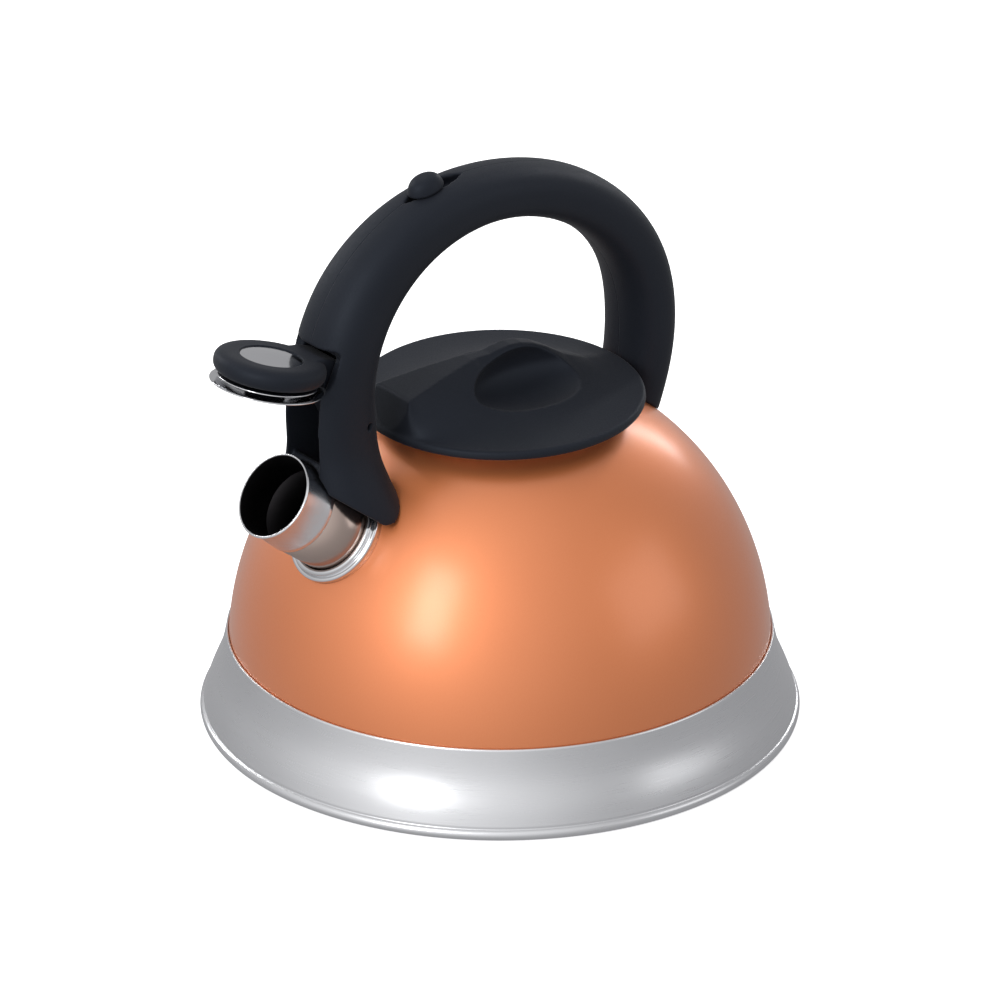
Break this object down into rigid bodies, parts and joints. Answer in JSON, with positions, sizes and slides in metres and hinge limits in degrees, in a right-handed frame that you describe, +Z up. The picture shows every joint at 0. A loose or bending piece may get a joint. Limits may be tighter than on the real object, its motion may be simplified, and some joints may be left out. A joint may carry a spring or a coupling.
{
  "type": "stovetop whistling kettle",
  "caption": "Domed stovetop kettle with an arched handle, lift-off lid and a spout whose whistling flap is worked by a thumb knob.",
  "frame": {"origin": "centre of the base on the surface that the kettle stands on", "axes": "+Z up, -X towards the spout, the handle and spout lie in the XZ plane"},
  "size_m": [0.2361, 0.22, 0.2231],
  "materials": {
    "copper_lacquer": "clear metallic lacquer",
    "polished_steel": "polished",
    "plain_steel": "satin",
    "aluminium": "mill",
    "soft_black": "soft-touch matt",
    "silicone": "matt"
  },
  "bodies": {
    "kettle": {"body_shell": "copper_lacquer", "base_skirt": "polished_steel", "base_pan": "plain_steel", "heat_spreader": "aluminium", "base_cap": "plain_steel", "filler_neck": "polished_steel", "spout_tube": "polished_steel", "spout_collar": "polished_steel", "front_bracket": "plain_steel", "rear_bracket": "plain_steel", "front_foot_screw": "plain_steel", "rear_foot_screw": "plain_steel", "handle_near_half": "soft_black", "handle_far_half": "soft_black", "handle_screws": "plain_steel", "hinge_pin": "plain_steel"},
    "lid": {"lid_cap": "soft_black", "lid_plate": "plain_steel", "lid_gasket": "silicone", "lid_screw": "plain_steel"},
    "flap": {"flap_cap": "soft_black", "flap_insert": "polished_steel", "whistle_plate_lower": "polished_steel", "whistle_plate_upper": "polished_steel", "crank_pin": "plain_steel"},
    "trigger": {"link_strip": "plain_steel", "thumb_button": "soft_black"}
  },
  "joints": [
    {"name": "lid_lift", "type": "slide", "parent": "kettle", "child": "lid", "axis": [0, 0, 1], "range_m": [0, 0.022]},
    {"name": "flap_hinge", "type": "hinge", "parent": "kettle", "child": "flap", "pos_m": [-0.0706, 0, 0.1392], "axis": [0, -1, 0], "range_deg": [0, 64.5]},
    {"name": "knob_slide", "type": "hinge", "parent": "kettle", "child": "trigger", "pos_m": [-0.006, 0, 0.1488], "axis": [0, 1, 0], "range_deg": [0, 3.4]}
  ],
  "couplings": [
    {"joint": "knob_slide", "follows": "flap_hinge", "ratio": 0.05178}
  ]
}
